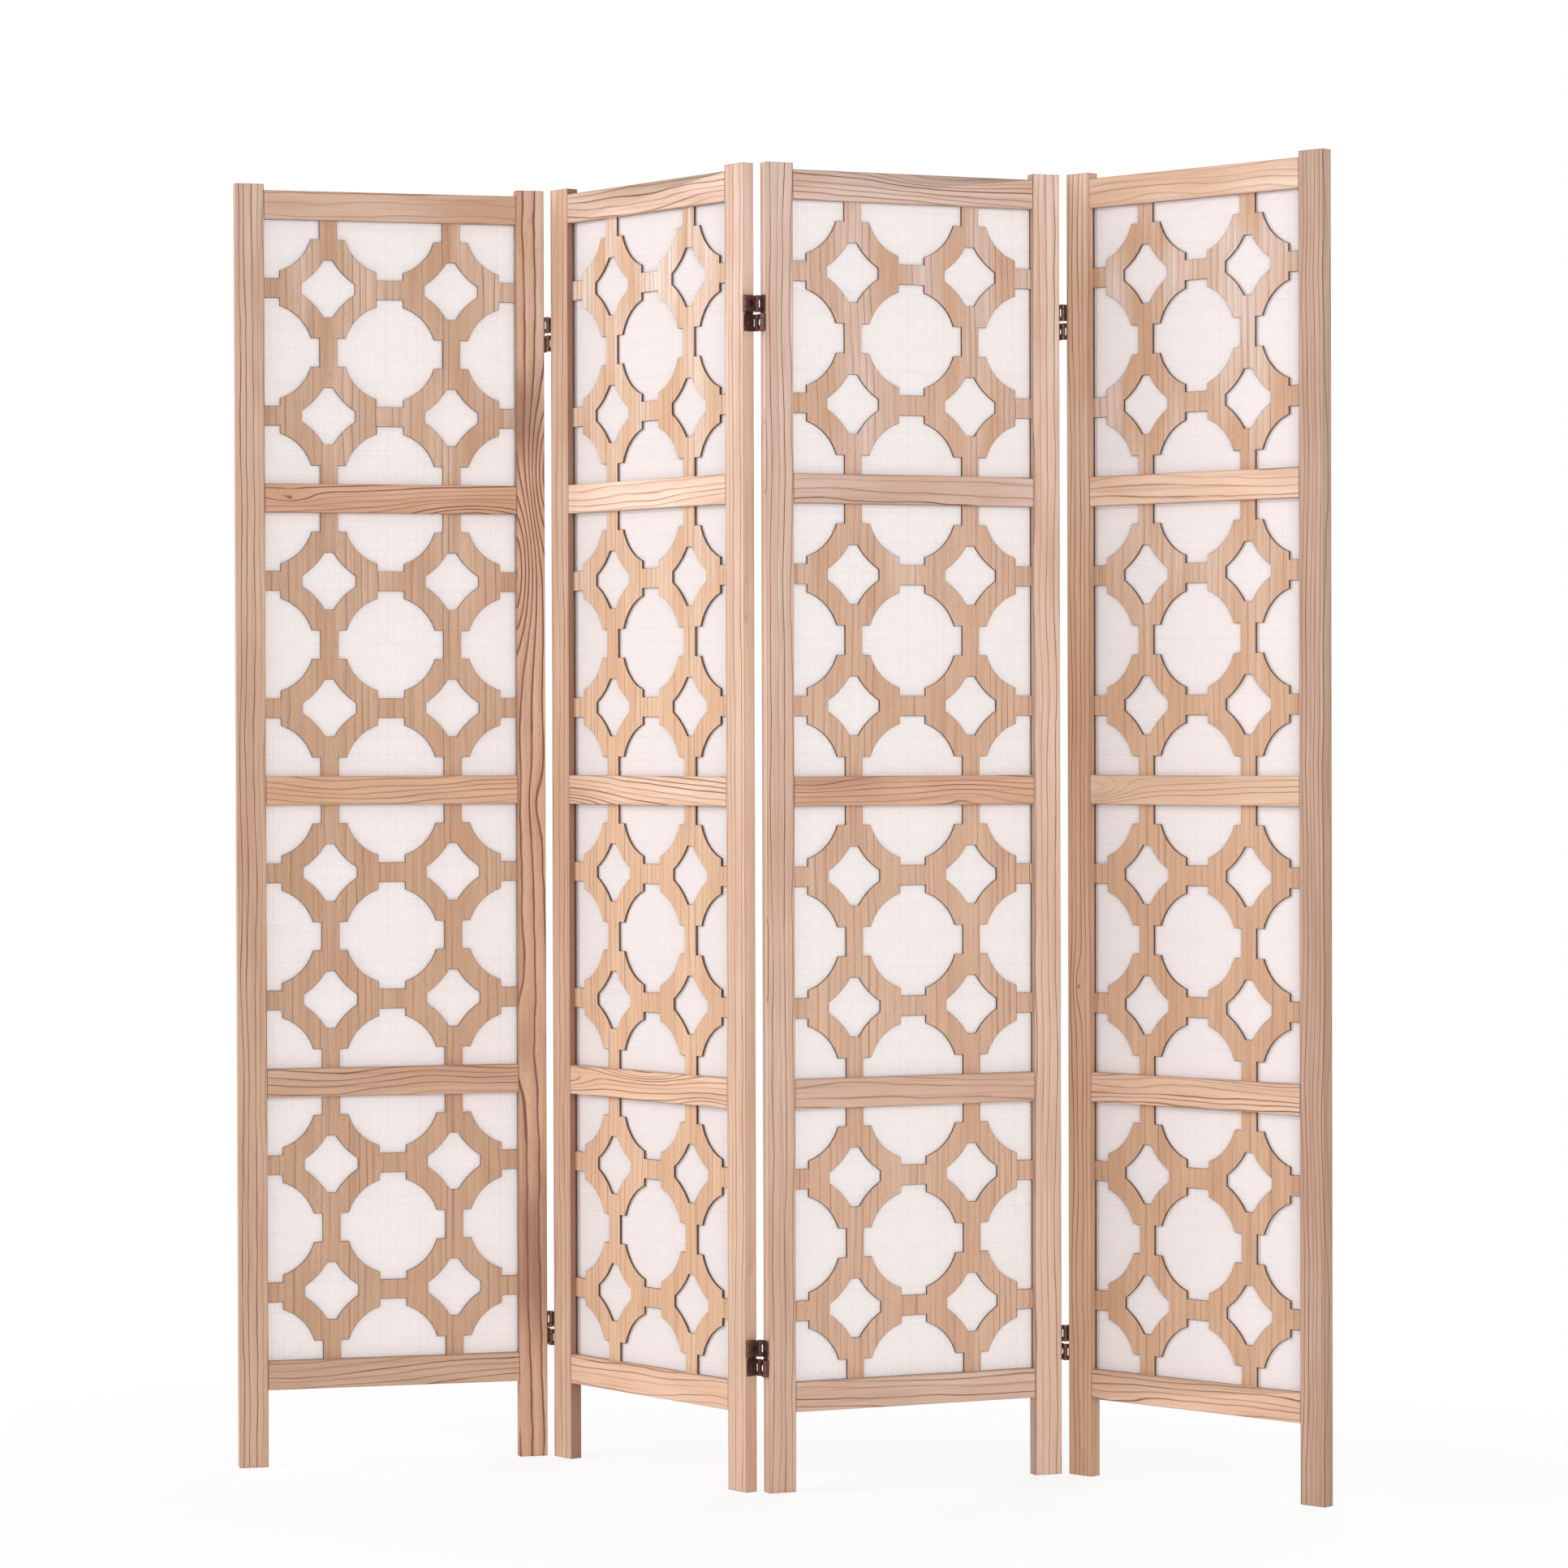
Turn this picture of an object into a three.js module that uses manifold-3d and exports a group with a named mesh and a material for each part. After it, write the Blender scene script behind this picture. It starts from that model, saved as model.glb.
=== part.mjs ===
// A four-panel mashrabiya folding screen: pine frames, a fret-cut lattice board in each frame with
// woven mesh behind it, and two-way hinges that let every joint fold to the front or to the back.
//
// Millimetres. Z is up, the feet stand at z = 0 and the origin is under the middle of the screen.
// Each panel is drawn in a frame of its own: x runs from its left edge to its right edge, y from
// its front face to its back face, z up. A panel's group then stands it in the zigzag.

import * as THREE from "three";
import { mergeVertices } from "three/addons/utils/BufferGeometryUtils.js";
import Module from "manifold-3d";

// ---- Driving dimensions ----

// The screen
const screenHeight = 1700;
const panelWidth = 416;
const outerFold = 66; // degrees that panels 1 and 2, and 3 and 4, are folded out of line
const middleFold = 74; // degrees that panels 2 and 3 are folded out of line, the other way

// Stiles and rails
const stileWidth = 38;
const frameThickness = 17;
const railHeight = 38;
const stileHorn = 8; // how far a stile stands above the top rail
const legLength = 102; // clear height under the bottom rail
const baysPerPanel = 4;

// Joinery
const fitGap = 0.3; // clearance between pieces that touch
const grooveDepth = 6.5; // how deep the board and the mesh sit in stiles, top and bottom rail
const boardSetback = 8.5; // front face of the frame to front face of the lattice board
const tenonCheek = 1.6; // wood that a tenon keeps in front of and behind the board slot
const tenonShoulder = 7; // how far a tenon is cut in from the top and bottom of its rail
const tenonTip = 7; // solid end of a tenon, beyond the edge of the board

// Lattice board and mesh
const boardThickness = 3;
const meshThickness = 0.8;
const sideInset = 4; // bay edge to the centres of the half openings beside the stiles
const endInset = 6; // bay edge to the centres of the half openings beside the rails
const uprightBar = 24;
const levelBar = 26;
const openingMargin = 20.5; // half the wood between the round parts of two openings
const bandWidth = 27; // the wood between a round opening and the diamond holes around it
const sideNotch = 19; // half the height of an opening's left and right notches
const endNotch = 18; // half the width of an opening's top and bottom notches
const sideTip = 7; // half the flat at the left and right tips of a diamond
const endTip = 6; // half the flat at the top and bottom tips of a diamond
const openingSteps = 2; // straight steps along a quarter of an opening's round part
const diamondSteps = 1; // straight steps along each side of a diamond

// Two-way hinges
const hingeGap = 10; // between the edges of two panels in line
const pinStandoff = 1.1; // pin axis in front of, or behind, the faces of the frame
const hingeHeight = 46;
const hingeSplit = 3; // between the upper and the lower half of a hinge
const upperHingeDrop = 192; // top of the screen to the centre of the upper hinge
const lowerHingeRise = 172; // floor to the centre of the lower hinge
const leafThickness = 1;
const knuckleRadius = 2.5;
const pinRadius = 1.1;
const pinClearance = 0.16;
const linkKnuckle = 8.8; // length of the knuckle at each end of a link
const linkClearance = 0.4; // between a link's plate and the knuckles that it swings past
const screwHole = 4;
const accessHole = 8; // hole in a link through which the screw of the leaf is reached
const knuckleSides = 6;
const pinSides = 6;
const holeSides = 6;

// ---- Values that follow from them ----

const bayWidth = panelWidth - 2 * stileWidth;
const topRailTop = screenHeight - stileHorn;
const railStack = topRailTop - legLength;
const bayHeight = (railStack - (baysPerPanel + 1) * railHeight) / baysPerPanel;
const railPitch = bayHeight + railHeight;

const slotFront = boardSetback - fitGap;
const meshFront = boardSetback + boardThickness + fitGap;
const slotBack = meshFront + meshThickness + fitGap;
const boardReach = grooveDepth - fitGap;
const tenonLength = grooveDepth + tenonTip;
const tenonHeight = railHeight - 2 * tenonShoulder;

const pinY = frameThickness / 2 + pinStandoff;
const hingeHalf = (hingeHeight - hingeSplit) / 2;
const halfCentre = (hingeHeight + hingeSplit) / 4; // centre of a hinge half above the hinge's own
const leafKnuckle = (hingeHalf - linkKnuckle) / 2 - fitGap;
const knuckleCorner = knuckleRadius / Math.cos(Math.PI / knuckleSides);

const deg = THREE.MathUtils.degToRad;

// ---- Materials ----

const wood = (color) => new THREE.MeshStandardMaterial({ color, roughness: 0.62, metalness: 0 });
const stileWood = wood(0xd9b795);
const railWood = wood(0xdcb991);
const boardWood = wood(0xd4ae88);
const meshCloth = new THREE.MeshStandardMaterial({ color: 0xf3ece2, roughness: 0.9, metalness: 0 });
const bronze = new THREE.MeshStandardMaterial({ color: 0x4a2a24, roughness: 0.42, metalness: 0.8 });

// ---- Solids ----

const wasm = await Module();
wasm.setup();

// A closed geometry as a solid that can be cut and joined.
function solid(geometry) {
  const bare = geometry.clone();
  bare.deleteAttribute("normal");
  bare.deleteAttribute("uv");
  const merged = mergeVertices(bare, 1e-4);
  return new wasm.Manifold(
    new wasm.Mesh({
      numProp: 3,
      vertProperties: new Float32Array(merged.attributes.position.array),
      triVerts: new Uint32Array(merged.index.array),
    }),
  );
}

// A box between two values on each axis.
function block(x0, x1, y0, y1, z0, z1) {
  const box = new THREE.BoxGeometry(x1 - x0, y1 - y0, z1 - z0);
  return solid(box.translate((x0 + x1) / 2, (y0 + y1) / 2, (z0 + z1) / 2));
}

// A prism around a vertical axis whose sides touch a circle of this radius from outside, with one
// side square to y.
function post(radius, sides, y, z0, z1) {
  const corner = radius / Math.cos(Math.PI / sides);
  const prism = new THREE.CylinderGeometry(corner, corner, z1 - z0, sides);
  prism.rotateY(Math.PI / sides).rotateX(Math.PI / 2);
  return solid(prism.translate(0, y, (z0 + z1) / 2));
}

// A hole through a plate, along x.
function drill(diameter, from, to, z) {
  const hole = new THREE.CylinderGeometry(diameter / 2, diameter / 2, to - from, holeSides);
  return solid(hole.rotateZ(Math.PI / 2).translate((from + to) / 2, 0, z));
}

// A flat outline in x and z, made as thick as y0 to y1.
function slab(points, y0, y1) {
  const options = { depth: y1 - y0, bevelEnabled: false };
  const extruded = new THREE.ExtrudeGeometry(new THREE.Shape(points), options);
  return solid(extruded.rotateX(Math.PI / 2).translate(0, y1, 0));
}

const join = (pieces) => pieces.reduce((whole, piece) => whole.add(piece));
const cut = (body, tools) => tools.reduce((left, tool) => left.subtract(tool), body);

function geometryOf(body) {
  const made = body.getMesh();
  const geometry = new THREE.BufferGeometry();
  geometry.setAttribute("position", new THREE.BufferAttribute(made.vertProperties, 3));
  geometry.setIndex(new THREE.BufferAttribute(made.triVerts, 1));
  const faceted = geometry.toNonIndexed();
  faceted.computeVertexNormals();
  return faceted;
}

function meshOf(name, geometry, material) {
  const mesh = new THREE.Mesh(geometry, material);
  mesh.name = name;
  return mesh;
}

// ---- Frame ----

// Heights of the undersides of the rails, from the bottom rail up.
const railBottoms = Array.from({ length: baysPerPanel + 1 }, (_, i) => legLength + i * railPitch);

// A stile, with a mortise for each rail and a groove that runs from the lowest to the highest.
// The right stile is the left one seen in a mirror.
function stileGeometry(side) {
  const place = (depth) => (side === "left" ? depth : panelWidth - depth);
  const board = (edgeA, edgeB, y0, y1, z0, z1) => {
    const edges = [place(edgeA), place(edgeB)];
    return block(Math.min(...edges), Math.max(...edges), y0, y1, z0, z1);
  };
  const past = stileWidth + 1;
  const groove = board(
    stileWidth - grooveDepth,
    past,
    slotFront,
    slotBack,
    railBottoms[0] + railHeight / 2,
    railBottoms[baysPerPanel] + railHeight / 2,
  );
  const mortises = railBottoms.map((z) =>
    board(
      stileWidth - tenonLength - fitGap,
      past,
      slotFront - tenonCheek - fitGap,
      slotBack + tenonCheek + fitGap,
      z + tenonShoulder - fitGap,
      z + tenonShoulder + tenonHeight + fitGap,
    ),
  );
  const blank = board(0, stileWidth, 0, frameThickness, 0, screenHeight);
  return geometryOf(cut(blank, [groove, ...mortises]));
}

// A rail with a tenon at each end. The board runs right through a middle rail, in a slot that the
// tips of the tenons close, and stands in a groove of the top and the bottom rail.
function railGeometry(kind) {
  const left = stileWidth;
  const right = panelWidth - stileWidth;
  const blank = block(left + fitGap, right - fitGap, 0, frameThickness, 0, railHeight);
  const tenons = block(
    left - tenonLength,
    right + tenonLength,
    slotFront - tenonCheek,
    slotBack + tenonCheek,
    tenonShoulder,
    tenonShoulder + tenonHeight,
  );
  const slotFoot = kind === "bottom" ? railHeight - grooveDepth : -1;
  const slotHead = kind === "top" ? grooveDepth : railHeight + 1;
  const slot = block(
    left - grooveDepth,
    right + grooveDepth,
    slotFront,
    slotBack,
    slotFoot,
    slotHead,
  );
  return geometryOf(cut(blank.add(tenons), [slot]));
}

// ---- Lattice board ----

// One bay holds two by two diamonds. The round openings are centred between them and on the edges
// of the bay, so that whole, half and quarter openings alternate.
const pitchX = bayWidth / 2 - sideInset;
const pitchZ = bayHeight / 2 - endInset;
const roundX = pitchX / 2 - openingMargin;
const roundZ = pitchZ / 2 - openingMargin;
const reachX = (pitchX - uprightBar) / 2;
const reachZ = (pitchZ - levelBar) / 2;

// Points along an ellipse around the origin, from one angle to another.
function ellipsePoints(radiusX, radiusZ, from, to, steps) {
  return Array.from({ length: steps + 1 }, (_, i) => {
    const angle = from + ((to - from) * i) / steps;
    return new THREE.Vector2(radiusX * Math.cos(angle), radiusZ * Math.sin(angle));
  });
}

// A quarter of an opening, from its side notch round to its end notch. Mirroring it in one axis
// turns the run round, so the points are put back in anticlockwise order.
function quarterOutline(signX, signZ) {
  const from = Math.asin(sideNotch / roundZ);
  const to = Math.acos(endNotch / roundX);
  const points = [
    new THREE.Vector2(reachX, sideNotch),
    ...ellipsePoints(roundX, roundZ, from, to, openingSteps),
    new THREE.Vector2(endNotch, reachZ),
  ].map((p) => new THREE.Vector2(p.x * signX, p.y * signZ));
  return signX * signZ > 0 ? points : points.reverse();
}

// The opening in column i and row j of the three by three in a bay, around its own centre. Towards
// the edge of the bay it stops at that edge.
function openingOutline(i, j) {
  const wallX = (i - 1) * sideInset;
  const wallZ = (j - 1) * endInset;
  const corner = (x, z) => new THREE.Vector2(x, z);
  const quarters = [
    [1, 1], [-1, 1], [-1, -1], [1, -1],
  ];
  const outline = [];
  for (const [signX, signZ] of quarters) {
    const openX = i === 1 || signX !== Math.sign(i - 1);
    const openZ = j === 1 || signZ !== Math.sign(j - 1);
    if (openX && openZ) outline.push(...quarterOutline(signX, signZ));
    else if (openX) outline.push(corner(signX * reachX, wallZ));
    else if (openZ) outline.push(corner(wallX, signZ * reachZ));
    else outline.push(corner(wallX, wallZ));
  }
  return outline;
}

// A diamond hole between four openings: its sides follow the openings at the width of the band,
// and its tips are cut off flat.
function diamondOutline() {
  const outerX = roundX + bandWidth;
  const outerZ = roundZ + bandWidth;
  const from = Math.asin((pitchZ / 2 - sideTip) / outerZ);
  const to = Math.acos((pitchX / 2 - endTip) / outerX);
  const side = ellipsePoints(outerX, outerZ, from, to, diamondSteps);
  const facing = (signX, signZ) => {
    const points = side.map(
      (p) => new THREE.Vector2((p.x - pitchX / 2) * signX, (p.y - pitchZ / 2) * signZ),
    );
    return signX * signZ > 0 ? points : points.reverse();
  };
  return [...facing(1, 1), ...facing(-1, 1), ...facing(-1, -1), ...facing(1, -1)];
}

function latticeGeometry() {
  const back = boardSetback + boardThickness;
  const hole = (points, x, z) =>
    slab(points, boardSetback - 1, back + 1).translate([x, 0, z]);
  const holes = [];
  for (const i of [0, 1, 2])
    for (const j of [0, 1, 2])
      holes.push(hole(openingOutline(i, j), (i - 1) * pitchX, (j - 1) * pitchZ));
  for (const i of [-0.5, 0.5])
    for (const j of [-0.5, 0.5]) holes.push(hole(diamondOutline(), i * pitchX, j * pitchZ));
  const bayHoles = join(holes).translate([panelWidth / 2, 0, railHeight + bayHeight / 2]);
  const board = block(
    stileWidth - boardReach,
    panelWidth - stileWidth + boardReach,
    boardSetback,
    back,
    railBottoms[0] + railHeight - boardReach,
    railBottoms[baysPerPanel] + boardReach,
  );
  const tools = railBottoms.slice(0, baysPerPanel).map((z) => bayHoles.translate([0, 0, z]));
  return geometryOf(cut(board, tools));
}

// The woven mesh, as the flat sheet that it is stretched to.
function clothGeometry() {
  const width = bayWidth + 2 * boardReach;
  const height = railStack - 2 * railHeight + 2 * boardReach;
  return new THREE.BoxGeometry(width, meshThickness, height).translate(
    panelWidth / 2,
    meshFront + meshThickness / 2,
    legLength + railStack / 2,
  );
}

// ---- Two-way hinge ----

// The hinge's own frame: the origin halfway between the two panel edges, halfway through the
// frame's thickness and halfway up the hinge. A front and a rear pin axis stand at y = -pinY and
// y = pinY. In the upper half the left leaf holds the front pin and the right leaf the rear pin, in
// the lower half the other way round, and a link joins the two pins of each half.

// The left leaf, with its two pins. The right leaf is the same piece turned half round.
function leafGeometry() {
  const seat = -hingeGap / 2 + fitGap;
  const face = seat + leafThickness;
  const armBack = pinY - knuckleRadius;
  const armFront = armBack + leafThickness;
  const pieces = [block(seat, face, -armFront, armFront, -hingeHeight / 2, hingeHeight / 2)];
  for (const half of [1, -1]) {
    const y = -half * pinY;
    const middle = half * halfCentre;
    const armY = half > 0 ? [-armFront, -armBack] : [armBack, armFront];
    const reach = linkKnuckle / 2 + fitGap;
    pieces.push(post(pinRadius, pinSides, y, middle - reach, middle + reach));
    for (const z of [middle - hingeHalf / 2, middle + reach]) {
      pieces.push(post(knuckleRadius, knuckleSides, y, z, z + leafKnuckle));
      pieces.push(block(seat, 0, armY[0], armY[1], z, z + leafKnuckle));
    }
  }
  const holes = [halfCentre, -halfCentre].map((z) => drill(screwHole, seat - 1, face + 1, z));
  return geometryOf(cut(join(pieces), holes));
}

// A link: a plate between two bored knuckles, centred on its own half of the hinge.
function linkGeometry() {
  const plateY = pinY - knuckleCorner - linkClearance;
  const half = hingeHalf / 2;
  const neck = linkKnuckle / 2;
  const thin = leafThickness / 2;
  const bore = pinRadius / Math.cos(Math.PI / pinSides) + pinClearance;
  const body = join([
    block(-thin, thin, -plateY, plateY, -half, half),
    block(-thin, thin, -pinY, pinY, -neck, neck),
    post(knuckleRadius, knuckleSides, -pinY, -neck, neck),
    post(knuckleRadius, knuckleSides, pinY, -neck, neck),
  ]);
  const bores = [-pinY, pinY].map((y) => post(bore, pinSides, y, -half, half));
  return geometryOf(cut(body, [...bores, drill(accessHole, -hingeGap, hingeGap, 0)]));
}

// ---- Panels ----

const leftStile = stileGeometry("left");
const rightStile = stileGeometry("right");
const topRail = railGeometry("top");
const middleRail = railGeometry("middle");
const bottomRail = railGeometry("bottom");
const lattice = latticeGeometry();
const cloth = clothGeometry();
const leaf = leafGeometry();
const link = linkGeometry();

const railNames = ["bottom_rail", "lower_rail", "middle_rail", "upper_rail", "top_rail"];

// The names fit four bays. With another number of bays the rails are numbered from the bottom.
function railName(i) {
  return railNames.length === railBottoms.length ? railNames[i] : "rail_" + (i + 1);
}

function panelGroup(number) {
  const panel = new THREE.Group();
  const name = "panel_" + number + "_";
  panel.add(meshOf(name + "left_stile", leftStile, stileWood));
  panel.add(meshOf(name + "right_stile", rightStile, stileWood));
  railBottoms.forEach((z, i) => {
    const shape = i === 0 ? bottomRail : i === baysPerPanel ? topRail : middleRail;
    const rail = meshOf(name + railName(i), shape, railWood);
    rail.position.z = z;
    panel.add(rail);
  });
  panel.add(meshOf(name + "lattice", lattice, boardWood));
  panel.add(meshOf(name + "mesh", cloth, meshCloth));
  return panel;
}

// Stands a hinge piece in a panel's group, at the panel's left or right edge.
function addHingePiece(panel, edge, name, shape, height, turn) {
  const piece = meshOf(name, shape, bronze);
  const x = edge === "right" ? panelWidth + hingeGap / 2 : -hingeGap / 2;
  piece.position.set(x, frameThickness / 2, height);
  piece.rotation.z = turn;
  panel.add(piece);
}

// A joint folds about its front pins when the panels' front faces close on each other, and about
// its rear pins when their back faces do. The link whose far pin is the one in use stays with the
// left panel, the other link with the right one.
function addHinges(leftPanel, rightPanel, jointName, foldsOn) {
  const heights = { top: screenHeight - upperHingeDrop, bottom: lowerHingeRise };
  for (const [place, height] of Object.entries(heights)) {
    const name = "hinge_" + jointName + "_" + place + "_";
    addHingePiece(leftPanel, "right", name + "left_leaf", leaf, height, 0);
    addHingePiece(rightPanel, "left", name + "right_leaf", leaf, height, Math.PI);
    for (const half of [1, -1]) {
      const withLeft = foldsOn === (half > 0 ? "rear" : "front");
      addHingePiece(
        withLeft ? leftPanel : rightPanel,
        withLeft ? "right" : "left",
        name + (half > 0 ? "upper_link" : "lower_link"),
        link,
        height + half * halfCentre,
        0,
      );
    }
  }
}

// ---- The screen in its zigzag ----

const headings = [
  outerFold - middleFold / 2,
  -middleFold / 2,
  middleFold / 2,
  middleFold / 2 - outerFold,
].map(deg);
const joints = [
  { name: "1_2", foldsOn: "front" },
  { name: "2_3", foldsOn: "rear" },
  { name: "3_4", foldsOn: "front" },
];

const panels = headings.map((heading, i) => {
  const panel = panelGroup(i + 1);
  panel.rotation.z = heading;
  return panel;
});

// Each panel stands so that the pin in use of its left joint meets that of the panel before it.
joints.forEach((joint, i) => {
  const pinDepth = frameThickness / 2 + (joint.foldsOn === "front" ? -pinY : pinY);
  const turned = (panel, x) =>
    new THREE.Vector3(x, pinDepth, 0).applyEuler(panel.rotation);
  const pin = turned(panels[i], panelWidth + hingeGap / 2).add(panels[i].position);
  panels[i + 1].position.copy(pin.sub(turned(panels[i + 1], -hingeGap / 2)));
  addHinges(panels[i], panels[i + 1], joint.name, joint.foldsOn);
});

const screen = new THREE.Group();
screen.add(...panels);
const middle = new THREE.Box3().setFromObject(screen, true).getCenter(new THREE.Vector3());
screen.children.forEach((panel) => {
  panel.position.x -= middle.x;
  panel.position.y -= middle.y;
});

export default screen;
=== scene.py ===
# %% [markdown]
# # A mashrabiya folding screen
# Four light wooden frames stand in a zigzag. Each holds a thin board, cut out into a lattice, and
# an open woven mesh is stretched behind the board. The pieces of the frames come from a CAD model
# that is loaded first. They keep their places, and this lesson gives them their wood, and makes the
# lattice, the mesh and the hinges again with the roundness that the CAD facets leave out.
# Everything is in metres. +X runs along the screen, +Y to its back, +Z up.

# %% Load the CAD model
import math

import bmesh
import bpy
from mathutils import Matrix, Vector


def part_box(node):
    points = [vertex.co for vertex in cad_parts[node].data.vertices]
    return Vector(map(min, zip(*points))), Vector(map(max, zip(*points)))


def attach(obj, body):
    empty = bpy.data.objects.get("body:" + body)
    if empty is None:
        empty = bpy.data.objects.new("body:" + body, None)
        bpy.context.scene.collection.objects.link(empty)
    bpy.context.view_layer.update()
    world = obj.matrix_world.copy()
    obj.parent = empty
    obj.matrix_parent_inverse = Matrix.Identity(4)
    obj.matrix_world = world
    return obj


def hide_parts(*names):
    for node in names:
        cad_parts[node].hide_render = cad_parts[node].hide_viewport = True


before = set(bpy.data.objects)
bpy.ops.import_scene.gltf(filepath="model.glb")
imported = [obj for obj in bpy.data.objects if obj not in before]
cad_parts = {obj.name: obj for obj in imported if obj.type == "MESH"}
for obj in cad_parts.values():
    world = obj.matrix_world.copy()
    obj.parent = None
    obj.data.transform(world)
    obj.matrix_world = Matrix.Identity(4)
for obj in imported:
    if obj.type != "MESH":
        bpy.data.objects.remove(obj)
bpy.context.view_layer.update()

# %% [markdown]
# ## A place for each panel
# A carpenter marks out a panel lying flat: left to right, front to back, foot to top. So each panel
# gets a matrix that turns those measures into the zigzag. The folds, and the pins that the panels
# turn on, are the ones that the CAD model was made with.

# %% Panel matrices
MM = 0.001
HEADINGS = (29.0, -37.0, 37.0, -29.0)
PANEL_WIDTH, FRAME_THICKNESS, HEIGHT = 416.0, 17.0, 1700.0
HINGE_GAP, PIN_STANDOFF = 10.0, 1.1
PIN_Y = FRAME_THICKNESS / 2 + PIN_STANDOFF


def turned(heading, x, y):
    a = math.radians(heading)
    return Vector((x * math.cos(a) - y * math.sin(a), x * math.sin(a) + y * math.cos(a)))


def panel_places():
    """The ground point of each panel's front left corner, and the pin between two and three."""
    places, pins = [Vector((0.0, 0.0))], []
    for joint in range(3):
        depth = FRAME_THICKNESS / 2 + (PIN_Y if joint == 1 else -PIN_Y)
        pins.append(places[joint] + turned(HEADINGS[joint], PANEL_WIDTH + HINGE_GAP / 2, depth))
        places.append(pins[joint] - turned(HEADINGS[joint + 1], -HINGE_GAP / 2, depth))
    return places, pins[1]


# The model has its middle pin at x = 0, and panel 3 starts at its lowest y.
places, middle_pin = panel_places()
low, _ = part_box("panel_3_left_stile")
shift = Vector((-middle_pin.x, low.y / MM - places[2].y))
PANELS = [
    Matrix.Translation(((p.x + shift.x) * MM, (p.y + shift.y) * MM, 0))
    @ Matrix.Rotation(math.radians(h), 4, "Z")
    for p, h in zip(places, HEADINGS)
]
for n, m in enumerate(PANELS, 1):
    print(f"panel {n} stands at {m.translation.x:.4f}, {m.translation.y:.4f}")

# %% [markdown]
# ## The camera
# The picture is taken from a little right of the middle, from about six metres away, with a long
# lens at chest height. Such a lens keeps the uprights parallel. Its place was worked out from the
# corners of the frames, so the zigzag falls on the same spots of the picture.

# %% Camera
IMAGE_SIDE = 1932
FOCAL_PIXELS = 6013.06
CAMERA_PLACE = (1.5562, -6.1647, 0.974)
YAW, PITCH, ROLL = 14.1355, -0.6185, -0.1609
camera = bpy.data.objects.new("camera", bpy.data.cameras.new("camera"))
bpy.context.scene.collection.objects.link(camera)
camera.data.sensor_width = 36.0
camera.data.lens = FOCAL_PIXELS / IMAGE_SIDE * camera.data.sensor_width
camera.data.clip_end = 100.0
camera.matrix_world = (
    Matrix.Translation(CAMERA_PLACE)
    @ Matrix.Rotation(math.radians(YAW), 4, "Z")
    @ Matrix.Rotation(math.radians(90 + PITCH), 4, "X")
    @ Matrix.Rotation(math.radians(ROLL), 4, "Z")
)
bpy.context.scene.camera = camera
print(f"lens {camera.data.lens:.1f} mm")

# %% [markdown]
# ## Shader maths that reads like arithmetic
# A wood pattern is a formula: distances, roots, waves. In the node editor that is dozens of Math
# nodes. Here a small class wraps a socket, so that a + b or 1 - mask adds the node by itself.

# %% Sockets as values
class Value:
    """One output socket. Arithmetic on it adds Math nodes to its tree."""

    def __init__(self, nodes, socket):
        self.nodes, self.socket = nodes, socket

    def math(self, operation, *others):
        sockets = dict(enumerate((self, *others)))
        return self.nodes.node("ShaderNodeMath", {"operation": operation}, sockets)

    def __add__(self, other):
        return self.math("ADD", other)

    __radd__ = __add__

    def __mul__(self, other):
        return self.math("MULTIPLY", other)

    __rmul__ = __mul__

    def __sub__(self, other):
        return self.math("SUBTRACT", other)

    def __rsub__(self, other):
        return self.nodes.node("ShaderNodeMath", {"operation": "SUBTRACT"}, {0: other, 1: self})

    def __truediv__(self, other):
        return self.math("DIVIDE", other)

    def __pow__(self, other):
        return self.math("POWER", other)

    def __abs__(self):
        return self.math("ABSOLUTE")

    def ramp(self, low, high):
        """0 at low, 1 at high, straight between, and held outside."""
        return self.nodes.node("ShaderNodeMapRange", {}, {0: self, 1: low, 2: high})


print("a socket can now be added and multiplied")

# %% Nodes and finishes
class Nodes:
    """A node tree, and the one way to add a node to it."""

    def __init__(self, tree):
        self.tree = tree

    def connect(self, target, value):
        if isinstance(value, Value):
            self.tree.links.new(value.socket, target)
        else:
            target.default_value = value

    def node(self, kind, settings, sockets, output=0):
        """A node of a kind: its settings come first, then the values and links of its sockets."""
        made = self.tree.nodes.new(kind)
        for name, value in settings.items():
            setattr(made, name, value)
        for name, value in sockets.items():
            self.connect(made.inputs[name], value)
        return Value(self, made.outputs[output])


class Finish(Nodes):
    """A material with a Principled shader."""

    def __init__(self, name):
        self.material = bpy.data.materials.new(name)
        self.material.use_nodes = True
        super().__init__(self.material.node_tree)
        self.shader = self.tree.nodes["Principled BSDF"]

    def mix(self, factor, a, b):
        return self.node("ShaderNodeMix", {"data_type": "RGBA"}, {0: factor, 6: a, 7: b}, 2)

    def noise(self, vector, scale, detail=2.0, roughness=0.5, output=0):
        sockets = {"Vector": vector, "Scale": scale, "Detail": detail, "Roughness": roughness}
        return self.node("ShaderNodeTexNoise", {}, sockets, output)

    def split(self, vector):
        apart = self.node("ShaderNodeSeparateXYZ", {}, {0: vector}).socket.node
        return [Value(self, socket) for socket in apart.outputs]

    def vector(self, x, y, z):
        return self.node("ShaderNodeCombineXYZ", {}, {0: x, 1: y, 2: z})

    def bump(self, height, distance, strength):
        sockets = {"Height": height, "Distance": distance, "Strength": strength}
        self.connect(self.shader.inputs["Normal"], self.node("ShaderNodeBump", {}, sockets))

    def set(self, **sockets):
        for name, value in sockets.items():
            self.connect(self.shader.inputs[name.replace("_", " ")], value)


print("one method adds every node")

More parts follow.
